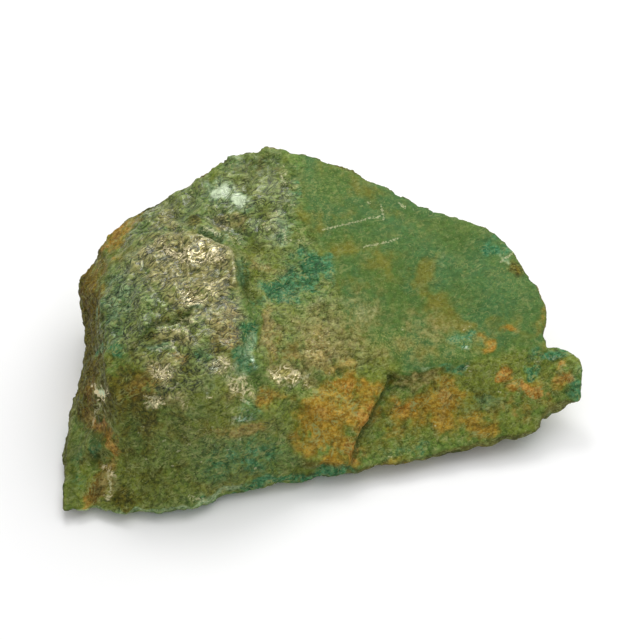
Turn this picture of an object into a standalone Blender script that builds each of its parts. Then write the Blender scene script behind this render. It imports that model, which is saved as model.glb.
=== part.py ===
"""Rough verdite hand specimen: one broken block of green mica rock, resting on its flattest side.

The block is a wedge about 120 mm long. Its broad weathered face looks up and to the front, and
its layers lie almost parallel to that face. The rim and the landmarks of the face are laid down
as points, skinned, closed by broken walls and a base, and then worn by modifiers.
Sizes are in millimetres until the mesh is made. +X is along the length, +Y is to the back and
+Z is up.
"""

import math

import bmesh
import bpy
from mathutils import Euler, Matrix, Vector, noise
from mathutils.geometry import delaunay_2d_cdt

MM = 0.001

# ---------------------------------------------------------------------------
# Driving sizes, in millimetres
# ---------------------------------------------------------------------------
LENGTH = 120.0  # finished size along X
FACE_TILT = math.radians(50)  # the face is skinned square to a line this far above the front

BASE_HEART = Vector((-6.0, 0.0))  # the walls taper towards this point of the base
BACK_TAPER = 0.10  # how far the foot draws in, per mm of rim height, below the back and left
FRONT_TAPER = 0.85  # the same below the front and the tongue
BURIED = 3.0  # depth of the foot below the plane that the stone is cut flat on
WALL_RINGS = (0.7, 0.35, 0.0)  # heights of the walls' rings, as shares of the rim's height
WALL_BREAKS = 2.6  # how far the walls' rings are knocked in and out
BREAK_SIZE = 17.0  # size of those knocks along the wall

SWELL = 0.9  # makes up for what the softening takes off the edges
LUMP_SIZE, LUMP_HEIGHT = 8.0, 2.2  # worn lumps
CRUMPLE_SIZE, CRUMPLE_HEIGHT = 3.6, 1.5  # crinkled mica of the pillow and the summit
BEDS = ((12.0, 2.4), (4.3, 1.5))  # layers that stand out of the walls: (thickness, step)
BED_TILT = Euler((math.radians(14), math.radians(5), 0))  # how the layers lie

VOXEL = 1.0  # cell of the remesh that makes one skin of it all
KEPT_SHARE = 0.195  # share of the remeshed triangles that is kept

# sRGB green of the rock as a whole
ROCK_COLOUR = (0.147, 0.179, 0.059, 1.0)
ROCK_ROUGHNESS = 0.55

# ---------------------------------------------------------------------------
# The rim, clockwise from the low front-left corner: (x, y, height)
# ---------------------------------------------------------------------------
LEFT_RIM = [
    (-59, -38, 3), (-59.5, -27, 4), (-59, -18, 5), (-58.5, -13, 6), (-56.5, -4.5, 8),
    (-56, 2, 10), (-56, 7, 13), (-57.5, 13, 16), (-57.5, 16, 18), (-53.5, 19.5, 21),
    (-52.5, 22.5, 23), (-49, 25.5, 25), (-43.5, 29.5, 28),
]
BACK_RIM = [
    (-39, 30.5, 29.5), (-32.5, 33, 32), (-27.5, 35.5, 34), (-24, 39, 35.5), (-21, 40, 36.5),
    (-15.5, 39.5, 37.5), (-11, 40.5, 38), (-7, 39.5, 37.5), (-2.5, 39, 37), (1.5, 38, 36),
    (5.5, 36.5, 35), (11.5, 34, 33.5), (17.5, 32, 32), (23, 29, 31), (27, 27.5, 30),
    (31.5, 26.5, 29.5), (38.5, 24, 28),
]
RIGHT_RIM = [
    (41, 23, 27), (43.5, 21, 26), (47, 16.5, 24), (48, 13.5, 23), (50, 11, 22),
    (53, 5.5, 20), (51, -3, 17.5),
]
TONGUE_RIM = [
    (56, -3.5, 16.5), (60, -6, 15), (60.5, -10.5, 12.5), (59, -13.5, 10), (53, -14.5, 8.5),
]
FRONT_RIM = [
    (49.5, -18.5, 6), (42.5, -21, 5), (33.5, -22.5, 4.5), (24.5, -25, 4), (15, -27, 4),
    (5, -29.5, 3.5), (-5, -31.5, 3), (-14, -33, 3), (-21.5, -34.5, 3), (-27.5, -36.5, 2.5),
    (-35.5, -38.5, 2), (-44.5, -38.5, 2), (-51.5, -37, 2),
]
RIM = LEFT_RIM + BACK_RIM + RIGHT_RIM + TONGUE_RIM + FRONT_RIM

# ---------------------------------------------------------------------------
# The broad face, left to right: how crumpled each part of it is, and its landmarks
# ---------------------------------------------------------------------------
FACE = {
    # the edge where the face turns down into the left side
    "left_shoulder": (0.6, [
        (-50.5, 15, 26), (-50.5, 2.5, 27.5), (-49.5, -10.5, 27), (-49, -21, 25.5),
        (-47, -25, 24), (-46, -29, 16), (-46.5, -32.5, 8),
    ]),
    # the swollen pillow of crinkled mica at the upper left
    "pillow": (1.0, [
        (-44.5, 10.5, 31.5), (-36, 12.5, 34.5), (-28, 14, 36), (-22, 10.5, 36.5), (-18.5, 4, 36),
        (-18, -7, 34.5), (-18.5, -16, 32), (-28.5, -2, 36), (-39, -3.5, 34.5), (-28.5, -15, 34),
        (-40.5, -14.5, 32), (-46, -0.5, 31), (-27, -24.5, 30),
    ]),
    # the groove that runs round the pillow's back and right side
    "groove": (0.6, [
        (-40, 22, 31), (-32, 27.5, 32.5), (-27, 21.5, 33.5), (-19, 15.5, 33), (-16, 9, 32),
        (-16, -0.5, 31), (-16.5, -12, 29),
    ]),
    # the rough ground behind the groove, up to the summit
    "summit": (1.0, [
        (-27.5, 29.5, 34), (-22, 31, 36), (-17, 25, 36.5), (-16.5, 18.5, 35), (-11, 30.5, 37),
        (-7.5, 22, 35), (-12, 12.5, 33),
    ]),
    "middle": (0.6, [
        (-5.5, 11.5, 31), (-13, -6, 30), (-13, -17.5, 26.5), (-5, -3.5, 27.5), (-5, -13, 23),
    ]),
    # the smooth cleavage plate on the right
    "plate": (0.1, [
        (5, 24, 32.5), (6, 10.5, 28.5), (7.5, -2.5, 23), (18, 17, 28), (17.5, 3.5, 23),
        (30.5, 14.5, 26), (30, 1.5, 21.5), (42, 9, 23), (41.5, -1, 19.5),
    ]),
    # where the face breaks over into the steep front
    "brow": (0.8, [
        (-44, -22.5, 26.5), (-38, -26.5, 26.5), (-31.5, -28, 25), (-21.5, -28, 23),
        (-13.5, -26.5, 20), (-5.5, -20, 18.5),
    ]),
    "steep_front": (0.6, [
        (-38.5, -31.5, 14), (-27.5, -32, 14.5), (-18.5, -31.5, 12.5), (-11, -30, 10),
    ]),
    # the rust-stained tile that stands proud of the front, and the floor at its foot
    "tile": (0.2, [
        (2.5, -12, 19), (14.5, -11, 17.5), (11, -17.5, 14), (8.5, -22.5, 11.5), (5, -28.5, 7),
        (-1, -29, 7), (-4, -23.5, 12.5),
    ]),
    "tile_foot": (0.2, [
        (16, -11, 14.5), (12.5, -16.5, 11), (10, -21, 8), (7, -28.5, 4.5), (-1.5, -29, 5),
    ]),
    # the crack under the plate's front edge: its lip, and the floor below
    "crack_lip": (0.1, [(19.5, -12, 17), (23, -10.5, 17.5), (29.5, -9, 18), (35.5, -8.5, 18)]),
    "crack_floor": (0.1, [(19.5, -12, 14), (23.5, -10.5, 15), (29.5, -9.5, 16)]),
    # the lower bed in front of the crack, which runs out into the tongue
    "lower_bed": (0.6, [
        (17.5, -19, 9), (25.5, -17, 10), (33.5, -15.5, 10.5), (41.5, -13, 12), (47.5, -12, 12),
        (33.5, -11, 15),
    ]),
    "tongue": (0.3, [(47.5, -5, 17.5), (52, -4.5, 17), (55, -8.5, 14.5)]),
}
RIM_CRUMPLE = 0.4
WALL_CRUMPLE = 1.0

CRUMPLED, WALLS = 0, 1  # the stone's two vertex groups, by index


def drawn(point):
    """The point on a sheet that lies square to the tilted line of FACE_TILT."""
    x, y, z = point
    return Vector((x, y * math.sin(FACE_TILT) + z * math.cos(FACE_TILT)))


def wall_point(point, share):
    """The wall's point below a rim point, at a share of the rim's height above the base."""
    x, y, z = point
    inward = (BASE_HEART - Vector((x, y))).normalized()
    # 1 where the rim faces the front or the tongue's end, 0 where it faces the back or left
    forward = max(0.0, min(1.0, 0.5 + 0.9 * (x * 0.6 - y) / 50.0))
    taper = BACK_TAPER + (FRONT_TAPER - BACK_TAPER) * forward
    height = z * share - BURIED * (1 - share)
    knock = noise.noise(Vector((x, y, height)) / BREAK_SIZE) * WALL_BREAKS * (1 - forward)
    draw_in = taper * (z - height) + knock
    return Vector((x + inward.x * draw_in, y + inward.y * draw_in, height))


def skin_face(shape, groups):
    """Skins the rim and the landmarks with flat facets. Returns the rim's vertices in order."""
    points = [(p, RIM_CRUMPLE) for p in RIM]
    points += [(p, amount) for amount, places in FACE.values() for p in places]
    rim_edges = [(i, (i + 1) % len(RIM)) for i in range(len(RIM))]
    inside_outline = 1
    flat, _, faces, _, _, _ = delaunay_2d_cdt(
        [drawn(p) for p, _ in points], rim_edges, [], inside_outline, 1e-5
    )
    assert len(flat) == len(points), "two landmarks fall on one another"
    verts = []
    for place, amount in points:
        vert = shape.verts.new(Vector(place) * MM)
        vert[groups][CRUMPLED] = amount
        verts.append(vert)
    for face in faces:
        shape.faces.new([verts[i] for i in face])
    return verts[: len(RIM)]


def close_below(shape, rim, groups):
    """Runs the walls down from the rim, ring by ring, and caps the base."""
    upper = rim
    for share in WALL_RINGS:
        lower = [shape.verts.new(wall_point(p, share) * MM) for p in RIM]
        for vert in lower:
            vert[groups][CRUMPLED] = WALL_CRUMPLE
            vert[groups][WALLS] = 1.0
        for i in range(len(RIM)):
            j = (i + 1) % len(RIM)
            shape.faces.new((upper[i], upper[j], lower[j], lower[i]))
        upper = lower
    shape.faces.new(upper)


def specimen_cage():
    """The faceted block, before it is worn, as an object with its two vertex groups."""
    shape = bmesh.new()
    groups = shape.verts.layers.deform.verify()
    rim = skin_face(shape, groups)
    close_below(shape, rim, groups)
    bmesh.ops.triangulate(shape, faces=shape.faces[:])
    bmesh.ops.recalc_face_normals(shape, faces=shape.faces[:])
    mesh = bpy.data.meshes.new("verdite_stone")
    shape.to_mesh(mesh)
    shape.free()
    stone = bpy.data.objects.new("verdite_stone", mesh)
    stone.vertex_groups.new(name="crumpled")
    stone.vertex_groups.new(name="walls")
    return stone


def displace(stone, name, height, texture=None, group=""):
    """Pushes the skin out and in by a texture's light and dark, or by a plain offset."""
    layer = stone.modifiers.new(name, "DISPLACE")
    layer.strength = height * MM
    layer.vertex_group = group
    if texture:
        layer.texture = texture
        layer.texture_coords = "LOCAL"
        layer.mid_level = 0.5
    else:
        layer.mid_level = 0.0
    return layer


def lumps_texture(name, size, depth):
    """Creased lumps about `size` millimetres across."""
    texture = bpy.data.textures.new(name, "CLOUDS")
    texture.noise_type = "HARD_NOISE"
    texture.noise_scale = size * MM
    texture.noise_depth = depth
    return texture


def beds_texture():
    """Wavering saw-toothed bands: each layer stands out over the one below."""
    texture = bpy.data.textures.new("beds", "WOOD")
    texture.wood_type = "BANDNOISE"
    texture.noise_basis_2 = "SAW"
    texture.noise_scale = 0.7
    texture.turbulence = 4.0
    return texture


def beds_frame(thickness, collection):
    """An empty in which the bands lie as the layers do, each of them `thickness` high.

    Blender's bands run square to the (1, 1, 1) direction, one every tau / 10 of x + y + z.
    """
    frame = bpy.data.objects.new("beds_frame", None)
    lay_flat = Vector((1, 1, 1)).rotation_difference(Vector((0, 0, 1)))
    one_band = math.tau / 10 / math.sqrt(3)
    turn = (BED_TILT.to_quaternion() @ lay_flat).to_matrix().to_4x4()
    frame.matrix_world = turn @ Matrix.Scale(thickness * MM / one_band, 4)
    collection.objects.link(frame)
    return frame


def floor_cutter(collection):
    """A block whose top is the plane that the stone rests on."""
    mesh = bpy.data.meshes.new("floor_cutter")
    shape = bmesh.new()
    bmesh.ops.create_cube(shape, size=2 * LENGTH * MM)
    bmesh.ops.translate(shape, verts=shape.verts, vec=(0, 0, -LENGTH * MM))
    shape.to_mesh(mesh)
    shape.free()
    cutter = bpy.data.objects.new("floor_cutter", mesh)
    cutter.hide_render = True
    cutter.display_type = "WIRE"
    collection.objects.link(cutter)
    return cutter


def weather(stone, helpers):
    """The modifiers that turn flat facets into broken, layered rock."""
    finer = stone.modifiers.new("finer", "SUBSURF")
    finer.subdivision_type = "SIMPLE"
    finer.levels = 3
    finer.render_levels = 3

    soften = stone.modifiers.new("soften", "SMOOTH")
    soften.factor = 0.5
    soften.iterations = 4

    displace(stone, "swell", SWELL)
    displace(stone, "lumps", LUMP_HEIGHT, lumps_texture("lumps", LUMP_SIZE, 2), "crumpled")
    crumples = lumps_texture("crumples", CRUMPLE_SIZE, 1)
    displace(stone, "crumples", CRUMPLE_HEIGHT, crumples, "crumpled")
    for thickness, step in BEDS:
        beds = displace(stone, "beds", step, beds_texture(), "walls")
        beds.texture_coords = "OBJECT"
        beds.texture_coords_object = beds_frame(thickness, helpers)

    remesh = stone.modifiers.new("one_skin", "REMESH")
    remesh.mode = "VOXEL"
    remesh.voxel_size = VOXEL * MM

    thin = stone.modifiers.new("thin", "DECIMATE")
    thin.ratio = KEPT_SHARE

    rest = stone.modifiers.new("rest", "BOOLEAN")
    rest.operation = "DIFFERENCE"
    rest.solver = "EXACT"
    rest.object = floor_cutter(helpers)


def settle(stone):
    """Bakes the modifiers, then brings the block to LENGTH with its base centred on the origin."""
    seen = bpy.context.evaluated_depsgraph_get()
    finished = bpy.data.meshes.new_from_object(stone.evaluated_get(seen))
    low = Vector([min(v.co[axis] for v in finished.vertices) for axis in range(3)])
    high = Vector([max(v.co[axis] for v in finished.vertices) for axis in range(3)])
    middle = Vector(((low.x + high.x) / 2, (low.y + high.y) / 2, 0))
    size = LENGTH * MM / (high.x - low.x)
    finished.transform(Matrix.Scale(size, 4) @ Matrix.Translation(-middle))
    stone.modifiers.clear()
    stone.data = finished


def rock_material():
    material = bpy.data.materials.new("verdite")
    material.use_nodes = True
    finish = material.node_tree.nodes["Principled BSDF"]
    finish.inputs["Base Color"].default_value = ROCK_COLOUR
    finish.inputs["Roughness"].default_value = ROCK_ROUGHNESS
    finish.inputs["Metallic"].default_value = 0.0
    return material


def new_collection(name):
    collection = bpy.data.collections.new(name)
    bpy.context.scene.collection.children.link(collection)
    return collection


def main():
    for old in list(bpy.data.objects):
        bpy.data.objects.remove(old)
    specimen = new_collection("verdite_specimen")
    helpers = new_collection("helpers")
    stone = specimen_cage()
    specimen.objects.link(stone)
    weather(stone, helpers)
    settle(stone)
    stone.data.materials.clear()
    stone.data.materials.append(rock_material())


main()
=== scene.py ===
# %% [markdown]
# # A rough verdite specimen
#
# Verdite is a green mica rock. The real thing is one broken block: a wedge about 120 mm long,
# with a smooth cleavage plate on the right, a swollen pillow of crinkled mica on the left, a
# rust-stained tile that stands proud of the front, and walls where the thin layers show.
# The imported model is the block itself. This script gives it a skin of fine relief and a
# finish, and leaves its size and place alone.

# %% The frame
import math

import bmesh
import bpy
import numpy as np
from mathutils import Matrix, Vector, noise


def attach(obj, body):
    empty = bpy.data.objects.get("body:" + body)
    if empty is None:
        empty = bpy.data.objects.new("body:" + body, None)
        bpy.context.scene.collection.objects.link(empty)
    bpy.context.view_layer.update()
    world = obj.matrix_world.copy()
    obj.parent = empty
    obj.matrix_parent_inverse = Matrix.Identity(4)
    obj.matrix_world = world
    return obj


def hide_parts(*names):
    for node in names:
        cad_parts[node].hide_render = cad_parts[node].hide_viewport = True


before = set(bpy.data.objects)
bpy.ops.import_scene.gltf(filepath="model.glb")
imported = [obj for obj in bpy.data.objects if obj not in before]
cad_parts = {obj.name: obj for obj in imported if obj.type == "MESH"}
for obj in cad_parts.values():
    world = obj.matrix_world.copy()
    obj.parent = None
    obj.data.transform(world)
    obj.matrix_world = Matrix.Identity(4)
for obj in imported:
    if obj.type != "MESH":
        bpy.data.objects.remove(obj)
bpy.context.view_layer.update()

MM = 0.001  # a millimetre, in Blender's metres
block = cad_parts["verdite_stone"]

# %% [markdown]
# ## A fine skin over the block
#
# The block's mesh is about nine thousand loose triangles, each some 2 mm across. That is too
# coarse for mica, whose wrinkles are half a millimetre wide. A voxel remesh lays an even net
# over the whole block, and smoothing takes away the old facets, so that every later mark is
# put there on purpose. The block's own mesh is left alone: the net is laid over a copy. The
# flat face underneath needs no net, so its inner faces are dissolved into one, which leaves
# more faces for the sides that carry the detail.

# %% Remeshing a copy
WELD = 0.001  # points closer than this are one, in mm
NET = 0.47  # cell of the net, in mm

copy = bmesh.new()
copy.from_mesh(block.data)
bmesh.ops.remove_doubles(copy, verts=copy.verts, dist=WELD * MM)
coarse = bpy.data.meshes.new("coarse_block")
copy.to_mesh(coarse)
copy.free()

skin = bpy.data.objects.new("verdite_skin", coarse)
bpy.context.scene.collection.objects.link(skin)
net = skin.modifiers.new("net", "REMESH")
net.mode = "VOXEL"
net.voxel_size = NET * MM
depsgraph = bpy.context.evaluated_depsgraph_get()
fine = bpy.data.meshes.new_from_object(skin.evaluated_get(depsgraph))
skin.modifiers.clear()
skin.data = fine
print("the net has", len(fine.vertices), "points and", len(fine.polygons), "faces")

# %% Clearing the flat face underneath
FLAT = 0.2  # what lies lower than this, in mm, belongs to the flat resting face

thinned = bmesh.new()
thinned.from_mesh(fine)
underneath = [
    point for point in thinned.verts
    if all(corner.co.z < FLAT * MM for face in point.link_faces for corner in face.verts)
]
bmesh.ops.dissolve_verts(thinned, verts=underneath)
bmesh.ops.triangulate(thinned, faces=[face for face in thinned.faces if len(face.verts) > 4])
thinned.to_mesh(fine)
thinned.free()
print("now it has", len(fine.vertices), "points and", len(fine.polygons), "faces")


# %% Reading and writing the skin's points, in millimetres
def read_points(mesh):
    flat = np.empty(len(mesh.vertices) * 3)
    mesh.vertices.foreach_get("co", flat)
    return flat.reshape(-1, 3) / MM


def read_normals(mesh):
    flat = np.empty(len(mesh.vertices) * 3, dtype=np.float32)
    mesh.vertex_normals.foreach_get("vector", flat)
    return flat.reshape(-1, 3).astype(float)


def write_points(mesh, points):
    mesh.vertices.foreach_set("co", (points * MM).ravel())
    mesh.update()


start = read_points(fine)
print("the net is", np.ptp(start, axis=0).round(1), "mm long, deep and high")

# %% Each point's neighbours
ends = np.empty(len(fine.edges) * 2, dtype=np.int32)
fine.edges.foreach_get("vertices", ends)
ends = ends.reshape(-1, 2)
lengths = np.linalg.norm(start[ends[:, 0]] - start[ends[:, 1]], axis=1)
ends = ends[lengths < 3 * NET]  # not the long ones that cross the flat face underneath
valence = np.bincount(ends.ravel(), minlength=len(fine.vertices)).clip(1).astype(float)


def neighbours_mean(values):
    """For each point, the mean of the points that an edge joins it to."""
    total = np.zeros_like(values)
    np.add.at(total, ends[:, 0], values[ends[:, 1]])
    np.add.at(total, ends[:, 1], values[ends[:, 0]])
    return total / (valence[:, None] if values.ndim == 2 else valence)


def smoothed(values, times):
    """Values that each move halfway to their neighbours' mean, a number of times."""
    for _ in range(times):
        values = (values + neighbours_mean(values)) / 2
    return values


print("a point has", valence.mean().round(1), "neighbours on average")

# %% Smoothing the old facets away
FACET_SMOOTHING = 18  # times
SHRINK, SWELL = 0.62, -0.64  # shrinking alone would wear the rims away, so each step swells back

points = start
resting = points[:, 2] < FLAT
for _ in range(FACET_SMOOTHING):
    for share in (SHRINK, SWELL):
        points = points + share * (neighbours_mean(points) - points)
points[resting, 2] = 0.0
write_points(fine, points)
print(int(resting.sum()), "points lie on the flat resting face")

# %% [markdown]
# ## The camera, and a plan to find places by
#
# Places on a broken stone have no names, so a plan is needed to say where a mark goes. The
# camera's own picture makes a good one: it looks down on the broad face from 50 degrees above
# the front, through a long lens, and sees almost every mark worth making. The picture is 640
# units square, and one unit is a little under a quarter of a millimetre on the stone.

# %% The camera
PICTURE = 640.0  # units across the square picture
SIGHT = math.radians(50)  # how far above the front the camera stands
FOCAL = 2571.7  # its focal length, in units of the picture
DISTANCE = 600.0  # from its aim, in mm
AIM = np.array([-0.6, 2.7, 18.0])  # mm
SENSOR = 36.0  # mm

TOWARDS_VIEWER = np.array([0.0, -math.cos(SIGHT), math.sin(SIGHT)])
UP_THE_PICTURE = np.array([0.0, math.sin(SIGHT), math.cos(SIGHT)])

lens = bpy.data.cameras.new("camera")
lens.sensor_width = SENSOR
lens.lens = FOCAL * SENSOR / PICTURE
camera = bpy.data.objects.new("camera", lens)
camera.location = (AIM + DISTANCE * TOWARDS_VIEWER) * MM
camera.rotation_euler = (math.pi / 2 - SIGHT, 0, 0)
bpy.context.scene.collection.objects.link(camera)
bpy.context.scene.camera = camera
print("the lens is", round(lens.lens, 1), "mm long")


# %% The plan, and the noise that every mark is made with
def plan_of(places):
    """Where places on the stone come in the picture: units from the left, and from the top."""
    seen = places - (AIM + DISTANCE * TOWARDS_VIEWER)
    depth = seen @ -TOWARDS_VIEWER
    right = PICTURE / 2 + FOCAL * seen[:, 0] / depth
    down = PICTURE / 2 - FOCAL * (seen @ UP_THE_PICTURE) / depth
    return np.stack([right, down], axis=1)


def step(low, high, values):
    """0 below low, 1 above high, and an S between them."""
    t = np.clip((values - low) / (high - low), 0, 1)
    return t * t * (3 - 2 * t)


def grain(places, size, octaves, seed):
    """Fractal noise with grains of about `size` millimetres, mostly between -1 and 1."""
    shift = Vector((seed * 17.3, seed * -9.1, seed * 5.7))
    return np.array([
        noise.fractal(Vector(place) / size + shift, 1.0, 2.0, octaves) for place in places
    ])


def folds(places, size, octaves, seed):
    """Sharp-crested folds `size` millimetres apart, from 0 in the furrows to about 1."""
    shift = Vector((seed * 13.1, seed * 7.7, seed * -11.9))
    crests = np.array([
        noise.ridged_multi_fractal(Vector(place) / size + shift, 1.0, 2.1, octaves, 1.0, 2.0)
        for place in places
    ])
    return crests / 2.2


RAGGEDNESS = 4.0  # size of the noise that makes every edge on the plan ragged, in mm

normals = smoothed(read_normals(fine), 3)
normals /= np.linalg.norm(normals, axis=1)[:, None]
plan = plan_of(points)
in_view = step(-0.15, 0.2, normals @ TOWARDS_VIEWER)  # 1 where the camera can see, 0 behind
ragged = np.stack([grain(points, RAGGEDNESS, 3, seed) for seed in (1, 2)], axis=1)
print("the stone spans", plan.min(axis=0).round(), "to", plan.max(axis=0).round(), "on the plan")


# %% Outlines and lines on the plan
def distance_to_line(line, where, closed=False):
    """Each point's distance, on the plan, to a line through the given places."""
    line = np.array(line, dtype=float)
    starts, stops = (line, np.roll(line, -1, axis=0)) if closed else (line[:-1], line[1:])
    nearest = np.full(len(where), np.inf)
    for start, stop in zip(starts, stops):
        along = stop - start
        share = np.clip((where - start) @ along / (along @ along), 0, 1)
        gap = np.linalg.norm(where - start - share[:, None] * along, axis=1)
        nearest = np.minimum(nearest, gap)
    return nearest


def region(outline, soft=6.0, wander=5.0):
    """1 inside an outline on the plan and 0 outside, over a soft and ragged edge."""
    where = plan + ragged * wander
    outline = np.array(outline, dtype=float)
    inside = np.zeros(len(plan), dtype=bool)
    x, y = where.T
    for (x1, y1), (x2, y2) in zip(outline, np.roll(outline, -1, axis=0)):
        if y1 != y2:
            inside ^= ((y1 > y) != (y2 > y)) & (x < (x2 - x1) * (y - y1) / (y2 - y1) + x1)
    edge = distance_to_line(outline, where, closed=True)
    return step(-soft, soft, np.where(inside, edge, -edge)) * in_view


def stroke(line, width, wander=4.0):
    """1 on a line on the plan, fading to 0 at `width` from it."""
    return (1 - step(0, width, distance_to_line(line, plan + ragged * wander))) * in_view


# %% The regions of the broad face, in units of the plan
PILLOW = [
    (104, 290), (122, 258), (150, 238), (180, 226), (205, 236), (228, 247), (237, 268),
    (239, 292), (246, 312), (243, 345), (225, 372), (196, 392), (172, 402), (152, 406),
    (144, 372), (126, 352), (101, 345),
]
SHOULDER = [(118, 255), (138, 212), (170, 192), (207, 172), (205, 205), (200, 230), (150, 240)]
SUMMIT = [
    (205, 232), (203, 200), (212, 168), (225, 150), (275, 145), (292, 180), (296, 215),
    (285, 245), (262, 250), (240, 240),
]
PLATE = [
    (300, 180), (305, 145), (360, 165), (430, 200), (500, 225), (530, 260), (560, 310),
    (548, 348), (500, 355), (455, 367), (410, 376), (392, 362), (372, 345), (345, 325),
    (335, 280), (310, 230),
]
CENTRE = [
    (240, 250), (285, 248), (310, 235), (335, 285), (345, 330), (372, 350), (386, 372),
    (335, 374), (300, 395), (265, 405), (215, 415), (200, 395), (228, 372), (246, 345),
    (250, 300),
]
TILE = [
    (306, 382), (335, 376), (386, 377), (380, 392), (372, 408), (361, 430), (354, 446),
    (346, 462), (330, 460), (317, 466), (300, 466), (290, 430),
]
STEEP_FRONT = [
    (112, 398), (140, 402), (168, 392), (200, 395), (215, 415), (265, 405), (298, 400),
    (290, 430), (300, 466), (300, 500), (228, 510), (165, 525), (80, 525), (112, 440),
]
LOWER_BED = [
    (392, 380), (410, 388), (430, 379), (455, 371), (500, 358), (545, 348), (566, 335),
    (600, 355), (600, 405), (560, 425), (540, 440), (470, 460), (390, 478), (350, 485),
    (356, 446), (372, 412),
]

# %% A mask for each region: 1 inside, 0 outside
pillow = region(PILLOW, soft=9.0, wander=8.0)
shoulder = region(SHOULDER)
summit = region(SUMMIT, soft=14.0, wander=9.0)
plate = region(PLATE)
centre = region(CENTRE)
tile = region(TILE, soft=2.0, wander=2.0)
steep_front = region(STEEP_FRONT)
lower_bed = region(LOWER_BED, soft=3.0)
for name, mask in (("pillow", pillow), ("plate", plate), ("tile", tile)):
    print("the", name, "holds", int((mask > 0.5).sum()), "points")

# %% [markdown]
# ## Layers on the walls
#
# Mica rock splits into sheets. The sheets lie almost parallel to the broad face, so they only
# show on the walls, as thin ledges stacked one over the other. A point's height across the
# layers, bent a little by noise, goes through a saw wave: each sheet leans out and then drops
# back to the next one.

# %% Cutting the layers
LAYER_TILT = (math.radians(14), math.radians(5))
ACROSS_LAYERS = np.array([
    math.sin(LAYER_TILT[1]), -math.sin(LAYER_TILT[0]), math.cos(LAYER_TILT[0])
])
ACROSS_LAYERS /= np.linalg.norm(ACROSS_LAYERS)
LAYERS = ((2.6, 0.42, 3), (0.95, 0.2, 4))  # (thickness and step in mm, seed of the noise)
LAYER_BEND = 1.1  # how far the layers bend, in mm


def ledges(heights, thickness):
    """A saw wave with a short drop: 0 at the foot of each sheet, 1 at its lip."""
    phase = (heights / thickness) % 1.0
    return np.where(phase < 0.8, phase / 0.8, (1 - phase) / 0.2)


across = np.abs(normals @ ACROSS_LAYERS)
wall = (1 - step(0.45, 0.8, across)) * (1 - resting) * (1 - 0.85 * steep_front)
relief = np.zeros(len(points))
for thickness, drop, seed in LAYERS:
    bend = grain(points * (0.3, 0.3, 1.0), 3.0, 2, seed) * LAYER_BEND
    strength = 0.6 + 0.6 * grain(points, 7.0, 2, seed + 5)
    relief += wall * drop * strength * (ledges(points @ ACROSS_LAYERS + bend, thickness) - 0.5)
print("the layers move the walls by up to", relief.max().round(2), "mm")

# %% [markdown]
# ## Crinkled mica, grit and the plate
#
# Where the mica was squeezed it is crumpled like foil into flakes that each lean their own
# way, with sharp winding furrows between the swells. The cells of a foam do for the flakes,
# and the lines along which smooth noise changes sign do for the furrows. Bending the space
# that both are read in makes them wander. The beds at the front are gritty and chipped. The
# plate is a clean split along one sheet, so it only undulates.

# %% Folding the mica
BENT = 1.1  # how far the folds wander, in mm
ALONG_FOLDS = np.array([0.82, 0.5, 0.28])  # they run up to the right, and are longer that way
STRETCH = 0.4  # by how much of their length
CRUMPLES, CREASES, FURROWS = 1.0, 0.3, 0.3  # heights of the folds, in mm
BROAD_LEAN, SMALL_LEAN = 0.12, 0.1  # slopes of the flakes


def flakes(places, size, seed):
    """Flakes `size` millimetres across that each lean their own way, in mm for a slope of 1."""
    shift = Vector((seed * 3.3, seed * 6.1, seed * -4.7))
    heights = []
    for place in places:
        spot = Vector(place) / size + shift
        middle = noise.voronoi(spot)[1][0]
        lean = 2 * noise.cell_vector(middle) - Vector((1, 1, 1))
        heights.append(size * lean.dot(spot - middle))
    return np.array(heights)


bent = points + BENT * np.stack([grain(points, 2.6, 2, seed) for seed in (11, 12, 13)], axis=1)
drawn = bent - STRETCH * (bent @ ALONG_FOLDS)[:, None] * ALONG_FOLDS
crinkled = np.maximum.reduce([
    pillow, 0.85 * shoulder, summit * (0.5 + 0.4 * step(165, 190, plan[:, 1])),
    0.35 * centre, 0.36 * steep_front, 0.1 * lower_bed,
])
furrow = 1 - step(0.0, 0.1, np.abs(grain(drawn, 3.6, 2, 21)))
crumples = np.minimum(folds(drawn, 6.0, 2, 22), 0.85)
creased = folds(drawn, 2.4, 2, 25)
leaning = BROAD_LEAN * flakes(drawn, 2.6, 23) + SMALL_LEAN * flakes(drawn, 1.5, 24)
relief += crinkled * (
    CRUMPLES * (crumples - 0.4) + CREASES * (creased - 0.4) - FURROWS * furrow + leaning
)
print("the crinkles move the mica by up to", (crinkled * leaning).max().round(2), "mm")

# %% Grit, undulation and broken ground
GRIT, CHIPS, CRACKS = 0.12, 0.12, 0.2  # on rough ground, in mm
LUMPS, WALL_LUMPS = 0.5, 0.3  # everywhere but on the plate, and on the walls, in mm
PLATE_SWELL, PLATE_GRIT = 0.2, 0.08  # on the plate, in mm

grit = grain(points, 1.3, 3, 31)
rough_ground = np.clip(steep_front + lower_bed + 0.6 * tile + 1.2 * centre + wall, 0, 1)
chipped = flakes(points + 0.3 * (bent - points), 3.6, 35)
cracks = 1 - step(0.0, 0.05, np.abs(grain(bent * (0.8, 1.3, 1.3), 6.5, 2, 36)))
relief += rough_ground * (
    GRIT * grit + (1 - 0.7 * tile) * (CHIPS * chipped - CRACKS * cracks)
)
lumpy = (1 - plate) * (1 - 0.6 * lower_bed) * (1 - resting)
relief += lumpy * LUMPS * grain(points, 4.2, 3, 32)
relief += plate * (PLATE_SWELL * grain(points, 9.0, 2, 33) + PLATE_GRIT * grit)
relief += wall * WALL_LUMPS * grain(points, 1.7, 2, 34)
print("the relief now runs from", relief.min().round(2), "to", relief.max().round(2), "mm")

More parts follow.
